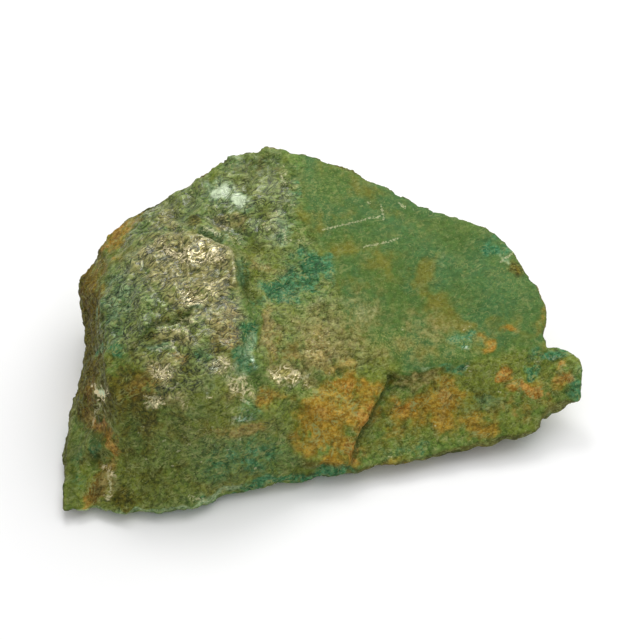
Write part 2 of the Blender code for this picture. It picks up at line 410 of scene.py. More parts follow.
# %% [markdown]
# ## The marks that make this stone itself
#
# A groove runs round the pillow, whose edge stands over it like a lip. The tile is a sheet
# that still stands proud: its right edge drops to the lower bed along a clean line. A crack
# runs on from there, under the front edge of the plate. Each of them could be cut into the
# mesh by hand, but a line on the plan with a width and a height does for them all, and can be
# changed later. The block has a hard ledge under the plate, where the stone only has the
# crack, so the net is eased there first: each point moves to the mean of its neighbours, many
# times over, as a thumb smooths clay.

# %% The lines of the marks, in units of the plan
GROOVE = [
    (172, 212), (190, 226), (210, 236), (230, 248), (243, 264), (248, 283), (254, 300),
    (250, 330), (246, 352),
]
PILLOW_LIP = [
    (165, 238), (190, 238), (207, 240), (225, 246), (234, 262), (236, 280), (236, 296),
]
CRACK = [
    (388, 378), (389, 391), (396, 386), (406, 387), (412, 382), (424, 381), (431, 376),
    (443, 375), (449, 370), (460, 369), (471, 365), (484, 366),
]
UNDER_PLATE = [(399, 385), (414, 385), (430, 381), (446, 377), (462, 374)]
TILE_LEDGE = [
    (390, 377), (384, 392), (376, 408), (366, 430), (359, 446), (351, 463),
]
TILE_FOOT = [(350, 467), (338, 464), (326, 463), (318, 470), (302, 471)]
TILE_TOP_CRACK = [(335, 376), (350, 370), (362, 364), (372, 359), (386, 353)]

PIT = [(203, 231), (210, 234), (217, 236)]
PIT_LIP = [
    (198, 236), (207, 239), (215, 241), (224, 246), (230, 252), (233, 262), (234, 274),
    (234, 284),
]
CREASE = [(134, 352), (140, 338), (148, 327), (166, 320), (187, 316), (192, 308)]

# %% Easing the ledge under the plate
EASING = 48  # times
EASED_WIDTH = 15  # in units of the plan

eased = points
for _ in range(EASING):
    eased = neighbours_mean(eased)
pressed = stroke(UNDER_PLATE, EASED_WIDTH, 2)[:, None] * (eased - points)
points = points + pressed
print("the ledge moves by up to", np.abs(pressed).max().round(2), "mm")

# %% Cutting and raising the marks
MARKS = [  # (line, its width and how far it wanders on the plan, its height in mm)
    (GROOVE, 9, 4, -0.55), (PILLOW_LIP, 7, 2, 0.4), (CRACK, 2.4, 2, -0.35),
    (TILE_LEDGE, 5, 2, -0.7), (TILE_FOOT, 4, 2, -0.5), (TILE_TOP_CRACK, 2.5, 2, -0.35),
    (PIT, 7, 2, -0.8), (PIT_LIP, 4, 1, 0.35), (CREASE, 5, 4, -0.5),
]
TILE_STANDS = 0.6  # how far the tile stands over the lower bed, in mm

tile_step = tile * step(24, 4, distance_to_line(TILE_LEDGE + TILE_FOOT, plan))
relief += TILE_STANDS * tile_step
for line, width, wander, rise in MARKS:
    relief += rise * stroke(line, width, wander)
print(len(MARKS), "marks take the relief from", relief.min().round(2), "to",
      relief.max().round(2), "mm")

# %% [markdown]
# ## Rims and corners
#
# The front of the stone ends below in a thin lip, and the edge that it stands on is tucked
# in, as on any block that has been about. Its right rim is sharp and chipped, so there the
# net goes most of the way back to the block's own edge, which the smoothing had worn. A few
# corners of the outline are then drawn out or pressed in by about a millimetre. The block
# could have been built with them, but they are too fine for its large triangles.

# %% The lower rim, and the tucked edge that the stone stands on
RIMS = [  # (where it runs on the plan, how far it stands out, in mm)
    ([(50, 506), (87, 504), (127, 509), (183, 503)], 2.3),
    ([(360, 468), (400, 461), (440, 454), (500, 440), (540, 428)], 0.9),
]
RIM_NEAR, RIM_FAR = 20, 44  # how wide it is, and where it has faded out, on the plan
LIP_HEIGHT, LIP_TOP = 3.2, 9.0  # where it stands out most, and where it ends, in mm
TUCK, TUCK_TOP = 1.3, 1.8  # how far the bottom edge is tucked in, and up to where

outward = smoothed(normals * (1.0, 1.0, 0.0), 6)
outward /= np.maximum(np.linalg.norm(outward, axis=1), 0.3)[:, None]
height = points[:, 2]
lip = sum(
    reach * (1 - step(RIM_NEAR, RIM_FAR, distance_to_line(line, plan))) for line, reach in RIMS
)
lip *= step(0, LIP_HEIGHT, height) * (1 - step(LIP_HEIGHT, LIP_TOP, height))
lip *= (1 + 0.5 * grain(points, 3.0, 2, 41)) * step(0.2, 0.7, -outward[:, 1])
tuck = TUCK * (1 - step(0, TUCK_TOP, height)) * (1 + 0.6 * grain(points, 5.0, 2, 42))
print("the lower rim stands out by up to", lip.max().round(2), "mm")

# %% The right rim, which is sharp and chipped
RIGHT_RIM = [
    (430, 196), (462, 212), (494, 230), (512, 247), (530, 270), (543, 290), (550, 312),
    (548, 340), (562, 347), (578, 356), (584, 374), (582, 398),
]
RIM_GAIN = 0.2  # how far it stands out, in mm
SHARPNESS = 0.8  # how much of the way it goes back to the block's edge

from_rim = distance_to_line(RIGHT_RIM, plan)
chips = RIM_GAIN * (1 - step(6, 16, from_rim))
chips *= (1 + 0.8 * grain(points, 2.2, 3, 43)) * step(2.0, 5.0, height)
sharp = SHARPNESS * (1 - step(8, 28, from_rim))
print("the chips stand out by up to", chips.max().round(2), "mm")

# %% Corners drawn out or pressed in
CORNERS = [  # (where it is, how far it moves right and down, and its reach, on the plan)
    ((577, 354), (3.0, -1.0), 9), ((576, 394), (3.0, 4.0), 13), ((552, 344), (-5.0, 3.5), 8),
    ((546, 416), (0.0, 3.5), 8), ((536, 424), (1.5, 2.5), 13), ((500, 438), (0.0, -2.0), 14),
    ((487, 229), (1.5, -2.5), 4), ((549, 311), (2.5, -0.5), 4), ((224, 160), (1.5, 3.0), 5),
    ((198, 184), (-1.5, -5.0), 14), ((283, 152), (1.5, -2.5), 9), ((250, 155), (-1.0, -3.0), 9),
    ((566, 408), (0.0, -3.0), 10),
]
UNIT = DISTANCE / FOCAL  # mm on the stone for one unit of the plan
drawn_out = np.zeros_like(points)
for spot, (right, down), reach in CORNERS:
    near = 1 - step(0, reach, np.hypot(*(plan - spot).T))
    drawn_out += UNIT * near[:, None] * (right * np.array([1, 0, 0]) - down * UP_THE_PICTURE)
print("the corners move by up to", np.linalg.norm(drawn_out, axis=1).max().round(2), "mm")

# %% Moving the skin
CALM_BELOW = 2.5  # the relief fades out below this height, in mm
RIM_RELIEF = 0.35  # the share of it that is left on the sharp rims
CREST_HEIGHT = 0.12  # a crest this far above its surroundings counts in full, in mm

relief *= step(0.0, CALM_BELOW, height)
from_edge = distance_to_line(RIMS[1][0] + RIGHT_RIM[::-1], plan)
relief *= RIM_RELIEF + (1 - RIM_RELIEF) * step(3, 14, from_edge)
points = points + sharp[:, None] * (start - points)
points = points + normals * relief[:, None] + outward * (chips - tuck)[:, None]
points += drawn_out
points[:, 1] -= lip
points[:, 2] = np.maximum(points[:, 2], 0.0)
points[resting, 2] = 0.0
write_points(fine, points)
above = ((points - smoothed(points, 6)) * normals).sum(axis=1)
crest = np.clip(above / CREST_HEIGHT, -1, 1)  # 1 on crests, -1 in hollows
for polygon in fine.polygons:
    polygon.use_smooth = True
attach(skin, "root")
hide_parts("verdite_stone")
print("relief from", relief.min().round(2), "to", relief.max().round(2), "mm")

# %% [markdown]
# ## Where the stains, the painted glints and the painted shade lie
#
# Verdite is green because of its chrome mica, and every break lets rust in. A stain is put on
# in dabs, as a painter would: each dab says where its middle is on the plan, how far it
# reaches both ways, how it is turned and how strong it is. The dabs are kept as one number
# for each point, in an attribute of the mesh, so they stay on the stone from every side. The
# finish reads them later and frays their edges.

# %% Dabbing an attribute
def dabs(spots, wander=9.0):
    """The strongest dab at each point. A dab is (x, y, reach x, reach y, turn, strength)."""
    where = plan + ragged * wander
    laid = np.zeros(len(plan))
    for x, y, reach_x, reach_y, turn, strength in spots:
        cosine, sine = math.cos(math.radians(turn)), math.sin(math.radians(turn))
        across, down = (where - (x, y)).T
        along_x, along_y = cosine * across + sine * down, cosine * down - sine * across
        gap = np.hypot(along_x / reach_x, along_y / reach_y)
        laid = np.maximum(laid, strength * (1 - step(0.1, 1.6, gap)))
    return laid * in_view


def drifts(size, seed, strength):
    """Stains for the sides that the plan doesn't show: patches that follow the layers."""
    patches = step(-0.05, 0.45, grain(points * (0.45, 0.45, 1.0), size, 3, seed))
    return strength * patches * (1 - in_view)


def keep(name, values):
    """Keeps one number for each point as an attribute that the finish can read."""
    layer = fine.attributes.new(name, "FLOAT", "POINT")
    layer.data.foreach_set("value", np.asarray(values, dtype=np.float32))
    print(name, "covers", round(100 * float((values > 0.5).mean()), 1), "% of the points")


# %% Blue-green, where the chrome mica is purest, and painted shade under the lower rim
# The stroke under the lower rim is painted shade on the lip's tucked underside.
SHADED_UNDER_RIM = [(95, 510), (127, 512), (150, 512), (175, 510), (205, 504), (235, 494)]
keep("teal", np.maximum(1.6 * stroke(SHADED_UNDER_RIM, 5, 2), dabs([
    (120, 305, 24, 50, 8, 0.65), (112, 350, 18, 7, 0, 0.8), (300, 278, 40, 20, 12, 0.8),
    (312, 266, 26, 16, 10, 1.3), (280, 292, 20, 12, 10, 1.4), (243, 272, 9, 20, -10, 1.0),
    (246, 345, 13, 34, 0, 1.2), (291, 190, 13, 46, 4, 0.5), (207, 386, 20, 14, 0, 0.7),
    (206, 360, 26, 14, 10, 0.6), (255, 455, 42, 28, 12, 0.65), (318, 474, 48, 10, -8, 0.9),
    (275, 483, 40, 9, -10, 0.9), (494, 249, 16, 11, 20, 0.9), (464, 341, 19, 9, 0, 0.9),
    (548, 354, 30, 9, -4, 0.9), (574, 382, 10, 20, 0, 0.9), (534, 371, 10, 7, 0, 1.1),
    (455, 367, 26, 7, -8, 0.7), (410, 449, 40, 10, -12, 0.6), (97, 448, 9, 13, 0, 0.6),
    (76, 470, 10, 40, 6, 0.45), (256, 304, 14, 14, 0, 0.5), (197, 305, 9, 6, 0, 1.0),
    (161, 347, 15, 6, 0, 0.8), (213, 236, 13, 6, 20, 1.3), (233, 245, 22, 8, 40, 0.55),
    (180, 345, 30, 10, 0, 0.45), (186, 210, 14, 12, 0, 0.4), (490, 405, 30, 12, -10, 0.5),
    (150, 508, 90, 6, 0, 0.6), (250, 410, 26, 14, 0, 0.55), (222, 468, 36, 18, 0, 0.6),
    (330, 300, 26, 14, 0, 0.4), (284, 230, 16, 26, 0, 0.5), (270, 160, 14, 8, 0, 0.3),
    (186, 430, 26, 12, 0, 0.35), (535, 408, 30, 10, -14, 0.4), (360, 478, 30, 6, -10, 0.6),
    (212, 497, 40, 8, 0, 0.55),
])) + drifts(7.0, 51, 0.7))

# %% Ochre, the paler iron stain
keep("ochre", dabs([
    (114, 238, 20, 20, -40, 0.8), (92, 285, 12, 40, 6, 0.6), (94, 360, 10, 46, 2, 0.35),
    (267, 268, 20, 7, 0, 0.45), (270, 334, 10, 30, -6, 1.0), (320, 346, 13, 22, 0, 1.0),
    (484, 343, 7, 14, 12, 1.0), (509, 331, 11, 7, 0, 1.0), (322, 420, 32, 38, 20, 1.2),
    (350, 402, 30, 28, 20, 1.2), (335, 446, 28, 22, 0, 1.1), (354, 386, 38, 9, 0, 1.0),
    (408, 410, 20, 16, 0, 1.0), (446, 401, 17, 24, 0, 1.8), (425, 402, 16, 14, 0, 0.9),
    (503, 374, 9, 9, 0, 1.0), (240, 432, 36, 10, 0, 0.9), (268, 398, 16, 11, 0, 0.9),
    (350, 460, 16, 8, 0, 0.9), (513, 266, 8, 10, 0, 0.5), (543, 322, 7, 26, 0, 0.5),
    (192, 293, 12, 4, -10, 0.9), (426, 408, 52, 24, -8, 0.6), (405, 412, 15, 11, 0, 1.3),
    (478, 425, 40, 14, -14, 0.7), (525, 408, 34, 10, -14, 0.6), (170, 245, 34, 14, -20, 0.4),
    (226, 332, 16, 28, 0, 0.8), (98, 480, 14, 18, 0, 0.5), (392, 428, 18, 18, 0, 0.7),
    (296, 352, 20, 16, 0, 0.6), (335, 366, 24, 10, 0, 0.9), (300, 420, 14, 24, 0, 0.7),
    (390, 462, 34, 8, -12, 0.5), (546, 386, 30, 10, 0, 0.6), (165, 375, 26, 16, 0, 0.5),
]) + drifts(6.0, 52, 0.8))

# %% Rust, the redder one, with a vein of it at the lower left
RUST_VEIN = [
    (86, 410), (91, 425), (104, 429), (113, 437), (115, 452), (111, 466), (99, 478), (87, 498),
]
keep("rust", np.maximum(0.7 * stroke(RUST_VEIN, 11, 3), dabs([
    (97, 426, 16, 5, 0, 0.9), (112, 447, 5, 24, 4, 1.0), (96, 482, 15, 17, 10, 0.95),
    (88, 285, 7, 34, 0, 0.4), (108, 242, 16, 12, -40, 0.6), (128, 220, 24, 9, -40, 0.6),
    (522, 386, 12, 5, 8, 1.5), (538, 391, 15, 5, 22, 1.5), (565, 374, 14, 9, 0, 0.9),
    (503, 374, 8, 8, 0, 0.9), (484, 343, 4, 10, 12, 0.6), (362, 420, 9, 32, 20, 0.75),
    (352, 450, 12, 12, 0, 0.8), (320, 350, 8, 14, 0, 0.7), (446, 398, 10, 17, 0, 0.9),
    (330, 415, 26, 18, 0, 0.45), (89, 395, 9, 20, 0, 0.7), (406, 408, 12, 10, 0, 0.7),
    (142, 388, 24, 14, -20, 0.9), (347, 386, 26, 6, 0, 0.6), (515, 392, 10, 8, 0, 0.9),
    (478, 440, 14, 8, 0, 0.4), (178, 366, 12, 14, 0, 0.62), (513, 330, 8, 4, 0, 0.6),
])) + drifts(3.5, 53, 0.5))

# %% Faint warm and cool tints
keep("warmth", dabs([
    (336, 250, 22, 14, -14, 0.9), (378, 262, 26, 20, -30, 0.7), (423, 276, 16, 22, 0, 1.0),
    (360, 190, 24, 18, 20, 0.7), (312, 224, 16, 16, 0, 0.8), (345, 215, 30, 12, -14, 0.5),
    (442, 310, 26, 16, 20, 1.0), (420, 350, 34, 10, 0, 0.7), (457, 323, 16, 10, 0, 1.0),
    (480, 345, 16, 18, 0, 0.8), (543, 320, 12, 30, 0, 0.6), (330, 165, 26, 10, 20, 0.5),
    (400, 215, 30, 12, 24, 0.4), (505, 325, 30, 12, 0, 0.7), (350, 285, 30, 18, 0, 0.4),
    (426, 408, 48, 26, -8, 1.1), (480, 412, 40, 24, -12, 1.1), (340, 425, 44, 44, 0, 0.8),
    (520, 392, 44, 18, 0, 0.6), (230, 340, 18, 30, 0, 0.9), (100, 330, 12, 80, 0, 0.8),
    (400, 448, 40, 16, -12, 0.6), (150, 372, 34, 22, 0, 0.7), (215, 300, 20, 16, 0, 0.7),
    (205, 256, 16, 6, 0, 0.6), (190, 300, 40, 8, -20, 0.5), (250, 424, 34, 10, 0, 0.9),
    (165, 432, 30, 14, 0, 0.7), (215, 484, 46, 9, 0, 0.8),
]))
keep("coolness", dabs([
    (402, 236, 50, 28, 20, 0.8), (440, 270, 24, 28, 0, 0.9), (495, 285, 52, 44, 30, 0.8),
    (494, 249, 20, 13, 20, 1.0), (470, 300, 40, 24, 0, 0.6), (440, 205, 40, 14, 24, 0.5),
    (310, 185, 16, 30, 0, 0.5), (350, 310, 34, 20, 0, 0.5), (520, 300, 20, 30, 0, 0.6),
    (400, 320, 30, 16, 0, 0.4), (300, 250, 30, 20, 0, 0.5), (258, 164, 40, 15, 0, 1.0),
    (216, 200, 16, 24, 0, 0.8), (215, 452, 40, 20, 0, 1.0), (190, 412, 30, 12, 0, 0.8),
    (275, 455, 32, 16, 0, 0.8),
]))

# %% Brown, where the stone is weathered and dark
keep("brown", dabs([
    (130, 392, 34, 36, 0, 1.1), (146, 412, 20, 20, 0, 0.9), (124, 494, 26, 14, 0, 0.8),
    (98, 478, 18, 26, 0, 0.8), (106, 434, 16, 12, 0, 0.7), (88, 400, 10, 20, 0, 0.8),
    (136, 440, 36, 34, 0, 0.6), (184, 424, 34, 18, 0, 0.6), (88, 335, 13, 90, 0, 1.1),
    (86, 400, 12, 44, 0, 0.9), (194, 220, 10, 12, 0, 0.8), (152, 330, 24, 6, -50, 0.9),
    (170, 317, 28, 4, -12, 0.9), (190, 370, 14, 12, 0, 0.6), (160, 474, 44, 22, 0, 0.5),
    (352, 440, 7, 28, 22, 0.5), (118, 364, 22, 10, 0, 0.9), (232, 395, 14, 8, 0, 0.5),
    (240, 222, 9, 14, 0, 0.6), (92, 470, 12, 8, 0, 0.5), (112, 236, 20, 22, -40, 0.45),
    (140, 212, 26, 9, -35, 0.3), (514, 266, 10, 14, 0, 0.9), (255, 166, 36, 16, 0, 0.55),
    (203, 253, 7, 4, 0, 0.9), (184, 283, 9, 5, 0, 0.8), (84, 290, 8, 50, 0, 0.4),
    (240, 470, 30, 14, 0, 0.3), (94, 330, 9, 50, 0, 0.6), (95, 300, 10, 60, 0, 0.4),
    (225, 260, 6, 20, 0, 0.2),
]) + drifts(5.0, 54, 0.9))

# %% Beige mica, and a paler band painted as light on the shaded riser under the plate
keep("beige", dabs([
    (446, 400, 13, 19, 0, 0.55), (325, 352, 36, 22, 0, 0.9), (188, 262, 58, 34, 0, 1.1),
    (206, 290, 40, 34, 0, 1.0), (150, 258, 34, 24, -30, 0.8), (177, 338, 28, 12, 0, 0.8),
    (160, 372, 24, 18, 0, 0.8), (170, 400, 30, 12, 0, 0.6), (224, 366, 20, 13, 0, 0.7),
    (240, 390, 16, 18, 0, 0.6), (290, 374, 28, 14, 10, 0.9), (326, 335, 50, 44, 0, 0.55),
    (273, 222, 14, 20, 0, 0.35), (268, 170, 16, 8, 0, 0.3), (228, 222, 24, 12, 0, 0.7),
    (166, 222, 26, 18, -40, 0.6), (220, 322, 22, 24, 0, 0.8), (130, 300, 20, 44, 0, 0.35),
    (94, 420, 8, 9, 0, 0.6), (267, 268, 22, 8, 0, 0.6), (270, 332, 10, 24, 0, 1.3),
    (446, 401, 12, 20, 0, 0.3), (240, 433, 32, 10, 0, 0.75), (430, 325, 44, 22, 0, 0.5),
    (365, 312, 36, 30, 0, 0.5), (206, 386, 24, 16, 0, 0.5), (500, 410, 30, 16, -10, 0.4),
    (330, 335, 56, 44, 0, 0.7), (400, 350, 60, 20, 0, 0.5), (92, 350, 8, 60, 0, 0.2),
    # (415, 381) is painted light: a paler band on the riser under the plate, against its shade.
    (415, 381, 26, 5, -8, 1.0), (108, 480, 10, 20, 0, 0.5), (436, 330, 40, 14, 10, 0.35),
]) + drifts(8.0, 55, 0.5))

# %% Glints: painted highlights where whole sheets of mica face the light, which also gloss
keep("glint", dabs([
    (200, 428, 40, 16, 0, 0.36), (240, 412, 30, 14, 0, 0.42), (176, 445, 24, 16, 0, 0.34),
    (240, 452, 36, 16, 0, 0.32), (330, 352, 30, 10, 0, 0.4), (300, 330, 30, 20, 0, 0.34),
    (163, 372, 16, 12, 0, 1.1), (155, 402, 10, 8, 0, 0.9), (182, 398, 20, 10, 0, 0.55),
    (208, 396, 5, 4, 0, 1.0), (224, 364, 16, 10, 0, 0.9), (242, 388, 14, 16, 0, 0.8),
    (288, 378, 22, 10, 10, 1.1), (99, 393, 8, 6, 0, 1.6), (110, 473, 6, 6, 0, 0.8),
    (108, 494, 7, 6, 0, 0.6), (190, 254, 44, 12, 6, 1.0), (224, 268, 14, 22, 0, 0.5),
    (196, 292, 24, 12, 0, 1.0), (180, 325, 30, 14, 0, 0.6), (150, 248, 26, 16, -30, 0.4),
    (272, 222, 12, 24, 0, 0.5), (268, 166, 16, 8, 0, 0.25), (232, 238, 20, 10, 30, 0.6),
    (322, 346, 32, 24, 0, 0.45), (130, 345, 20, 8, 0, 0.5), (100, 400, 8, 20, 0, 0.6),
    (537, 359, 9, 3, 0, 0.6), (553, 358, 8, 3, 0, 0.6), (463, 345, 11, 5, 0, 0.6),
    (471, 367, 11, 4, -8, 0.7), (252, 362, 9, 12, 0, 0.6),
]))

# %% Mint, where the mica is bruised or thin, and a painted highlight along the lower rim
LOWER_RIM = [(72, 503), (105, 503), (127, 504), (150, 504), (175, 502), (200, 497), (240, 486)]
# The pale line along the lower rim is a painted highlight on the lip's lit edge.
rim_highlight = stroke(LOWER_RIM, 4, 2)
keep("mint", np.maximum(rim_highlight, dabs([
    (221, 192, 14, 11, 10, 1.9), (239, 201, 15, 9, 20, 1.9), (233, 155, 8, 4, 0, 1.2),
    (280, 225, 12, 26, 0, 0.6), (262, 182, 20, 10, 0, 0.4), (161, 347, 16, 5, 0, 0.9),
    (196, 304, 10, 6, 0, 0.8), (463, 341, 16, 8, 0, 0.5), (428, 367, 14, 4, -8, 0.6),
    (504, 258, 7, 3, 40, 0.9), (116, 300, 14, 44, 6, 0.5), (250, 350, 10, 22, 0, 0.75),
    (232, 374, 22, 20, 0, 0.5), (99, 392, 5, 4, 0, 2.0), (440, 270, 14, 18, 0, 0.3),
    (360, 478, 40, 4, -12, 0.7), (300, 300, 40, 12, 0, 0.35), (350, 310, 40, 20, 0, 0.35),
], wander=5.0)))

# %% Sparkle: painted highlights of single grains that catch the light
keep("sparkle", dabs([
    (322, 330, 50, 34, 0, 1.0), (390, 345, 60, 20, -6, 1.0), (455, 350, 40, 16, 0, 0.8),
    (440, 388, 50, 16, -10, 0.8), (500, 376, 44, 14, -8, 0.7), (330, 395, 50, 20, 0, 0.6),
    (215, 440, 60, 40, 0, 0.6), (320, 205, 30, 40, 0, 0.5), (540, 385, 30, 24, 0, 0.6),
    (512, 270, 14, 24, 20, 0.6), (400, 440, 60, 20, -14, 0.6), (340, 430, 30, 40, 0, 0.6),
]))

# %% Painted shade in deep places: the groove, crease, pit, cracks and the tile's ledge
SHADED_LINES = [  # (line, its width and how far it wanders on the plan, how dark it is)
    ([(72, 440), (70, 470), (72, 500)], 12, 4, 0.6), ([(97, 438), (97, 458)], 10, 3, 0.7),
    ([(240, 266), (246, 283), (249, 298)], 10, 5, 0.9), (GROOVE[:6], 8, 4, 0.3),
    (CREASE, 6, 4, 0.7), (PIT, 7, 3, 1.0), ([(196, 305), (188, 300), (200, 309)], 6, 3, 0.8),
    (TILE_LEDGE, 5, 3, 0.8), (CRACK[:4], 4, 2, 0.7),
    ([(229, 352), (216, 345), (200, 352)], 8, 4, 0.6),
]
keep("painted_shade", np.maximum.reduce([
    dark * stroke(line, width, wander) for line, width, wander, dark in SHADED_LINES
]))

# %% Scratches, single flakes and painted highlight strokes, in units of the plan
# Many bright lines are painted highlights: the lit lip beside the pit, and strokes inside
# glints.
BRIGHT = [
    PIT_LIP, [(205, 227), (212, 229), (219, 233)], [(99, 404), (96, 414), (92, 424)],
    [(170, 340), (176, 350), (181, 358)], [(146, 396), (159, 399)], [(147, 408), (158, 399)],
    [(150, 402), (163, 404)], [(154, 394), (157, 408)],
    [(152, 366), (160, 372), (166, 368), (172, 378)], [(163, 385), (172, 389), (178, 384)],
    [(155, 376), (166, 380)], [(168, 364), (176, 371)],
    [(218, 368), (226, 362), (234, 369)], [(238, 380), (246, 386), (243, 395)],
    [(224, 376), (236, 380)], [(240, 400), (249, 404)],
    [(272, 374), (280, 380), (290, 376)], [(284, 385), (292, 388), (298, 382)],
    [(294, 372), (303, 378), (309, 374)], [(156, 350), (166, 346), (176, 348)],
    [(108, 474), (111, 483), (108, 494)], [(281, 174), (285, 184)], [(284, 228), (286, 240)],
]
FAINT = [
    [(323, 229), (338, 226), (353, 223), (366, 219), (380, 216)], [(380, 203), (384, 220)],
    [(399, 203), (405, 207)], [(364, 246), (382, 243), (398, 239)], [(500, 262), (512, 252)],
    [(189, 489), (203, 495)],
]
FLAKES = [
    (190, 443), (228, 450), (164, 441), (213, 426), (256, 468), (178, 452), (202, 462),
    (240, 440), (290, 194), (286, 174), (283, 166), (293, 206), (284, 231), (291, 241),
    (300, 241), (368, 203), (413, 209), (143, 426), (139, 433), (147, 458), (159, 418),
    (173, 467), (520, 378), (470, 326), (463, 329), (402, 330), (262, 196), (250, 300),
    (128, 335), (152, 350), (470, 372), (500, 392), (436, 425), (390, 455), (330, 372),
    (205, 398),
]
keep("fleck_and_highlight", np.maximum.reduce(
    [stroke(line, 3.2, 1.5) for line in BRIGHT]
    + [0.9 * stroke(line, 2.8, 1) for line in FAINT]
    + [dabs([(x, y, 2.2, 1.8, 0, 1.0) for x, y in FLAKES], wander=1.5)]
))

# %% Crests, furrows, crinkles, walls and the plate, as the mesh has them
# crest and furrow feed painted highlights on crests and painted shade in hollows, furrows,
# cracks.
keep("crest", crest)
keep("furrow", np.maximum(furrow * crinkled, 0.7 * cracks * rough_ground))
keep("crinkled", crinkled)
keep("wall", wall)
keep("plate", plate)

# %% [markdown]
# ## Writing a finish as sums
#
# A finish is a net of shader nodes. Drawn by hand it soon becomes a tangle, so it is written
# here as ordinary sums. A small class wraps a node's output, and adding or multiplying two of
# them puts the Math node there. Every other kind of node comes from one method, which sets
# the node up first and then feeds its sockets.

# %% Sums on sockets
class Value:
    """A node's output to do sums with: each operator adds one Math node."""

    def __init__(self, finish, socket):
        self.finish = finish
        self.socket = socket

    def sum(self, operation, first, second):
        return self.finish.node(
            "ShaderNodeMath", {"operation": operation}, {0: first, 1: second})

    def __add__(self, other):
        return self.sum("ADD", self, other)

    def __sub__(self, other):
        return self.sum("SUBTRACT", self, other)

    def __rsub__(self, other):
        return self.sum("SUBTRACT", other, self)

    def __mul__(self, other):
        return self.sum("MULTIPLY", self, other)

    __radd__ = __add__
    __rmul__ = __mul__


class Finish:
    """A material with one shader, and the one method that adds every node but Math."""

    def __init__(self, name):
        self.material = bpy.data.materials.new(name)
        self.material.use_nodes = True
        self.tree = self.material.node_tree
        self.shader = self.tree.nodes["Principled BSDF"]

    def node(self, kind, settings=None, inputs=None, output=0):
        """Adds a node: its settings first, then what its sockets hold or are linked to."""
        made = self.tree.nodes.new(kind)
        for name, setting in (settings or {}).items():
            setattr(made, name, setting)
        for name, value in (inputs or {}).items():
            self.feed(made.inputs[name], value)
        return Value(self, made.outputs[output])

    def feed(self, socket, value):
        if isinstance(value, Value):
            self.tree.links.new(value.socket, socket)
        else:
            socket.default_value = value


# %% The few nodes that this finish needs
stone = Finish("verdite_mica")
places = stone.node("ShaderNodeTexCoord", output="Object")


def spread(value, low, high):
    """0 below low, 1 above high, and an S between them."""
    return stone.node(
        "ShaderNodeMapRange", {"interpolation_type": "SMOOTHSTEP"},
        {"Value": value, "From Min": low, "From Max": high},
    )


def mottle(size, detail=3.0, distortion=0.0, roughness=0.55, at=places):
    """Noise between 0 and 1 with grains of about `size` millimetres."""
    return stone.node(
        "ShaderNodeTexNoise", {"noise_type": "FBM"},
        {"Vector": at, "Scale": 1 / (size * MM), "Detail": detail, "Roughness": roughness,
         "Distortion": distortion},
    )


def cells(size, output="Color"):
    """The crystals of a foam, `size` millimetres across: a colour for each, or its middle."""
    return stone.node("ShaderNodeTexVoronoi", {}, {
        "Vector": places, "Scale": 1 / (size * MM)}, output)


FIRST_COLOUR, SECOND_COLOUR, MIXED_COLOUR = 6, 7, 2  # a Mix node's colour sockets, by number


def mix(share, first, second, blend="MIX"):
    """A share of the second colour over the first."""
    return stone.node(
        "ShaderNodeMix", {"data_type": "RGBA", "blend_type": blend},
        {"Factor": share, FIRST_COLOUR: first, SECOND_COLOUR: second}, MIXED_COLOUR,
    )


def painted(name):
    """One of the numbers kept on the points."""
    return stone.node("ShaderNodeAttribute", {"attribute_name": name}, output="Fac")


# %% Colours as they look
SCREEN_GAMMA = 2.2
LIT = 1.1  # how much more than white paper the face gets of the light
SHEEN = 0.008  # what the gloss adds everywhere


def shade(red, green, blue):
    """A colour as it looks in the studio light, from 0 to 255, as what the stone reflects."""
    reflected = [
        max((part / 255) ** SCREEN_GAMMA / LIT - SHEEN, 0.001) for part in (red, green, blue)
    ]
    return (*reflected, 1.0)


print("a middle green reflects", [round(part, 3) for part in shade(100, 128, 58)[:3]])


# %% [markdown]
# ## The ground colour
#
# The rough faces are olive green and the plate is leaf green, and both drift a little from
# place to place. Faint tints lie over them, and the walls show the dark and pale bands of the
# layers. All of it could be painted on an image, but noise holds its detail at any size, and
# it runs through the stone, so it never stretches on a steep side.

# %% Noise that the whole finish shares
FLOW = math.radians(17)  # which way the mica flakes lie on the plate
FOLDS = math.radians(32)  # and which way the crinkles run


def turned(rotation, scale):
    """Places to read a pattern at, so that it comes out turned and drawn out."""
    return stone.node("ShaderNodeMapping", {"vector_type": "TEXTURE"}, {
        "Vector": places, "Rotation": rotation, "Scale": scale})


along_flow = turned((0, 0, FLOW), (1.25, 1, 1))
across_layers = turned((*LAYER_TILT, 0), (9, 9, 1))
along_folds = turned((0, 0, FOLDS), (1.7, 1, 1))
broad = mottle(12.0)
middling = mottle(3.4, 4.0)
grains = mottle(1.1, 4.0, roughness=0.65)
flecks = mottle(0.9, 4.0, roughness=0.7, at=along_flow)
specks = mottle(0.45, 3.0, roughness=0.7)
bands = mottle(1.6, 4.0, roughness=0.6, at=across_layers)

# %% What the mesh has kept for the finish
crest = painted("crest")
crinkle = painted("crinkled")
furrow = painted("furrow")
flat_plate = painted("plate")
side = painted("wall")
rough = 1 - flat_plate * 0.5

# %% Ground colour
OLIVE, GREY_OLIVE = shade(120, 132, 50), shade(100, 128, 58)
LEAF, DEEP_LEAF = shade(85, 115, 54), shade(76, 113, 62)
COOL_GREEN, WARM_OLIVE, MOSS = shade(76, 119, 72), shade(128, 118, 38), shade(124, 126, 50)
DARK_BAND, PALE_BAND = shade(72, 68, 26), shade(112, 110, 54)
PALE_GRAIN, DARK_GRAIN = shade(134, 150, 86), shade(60, 82, 28)

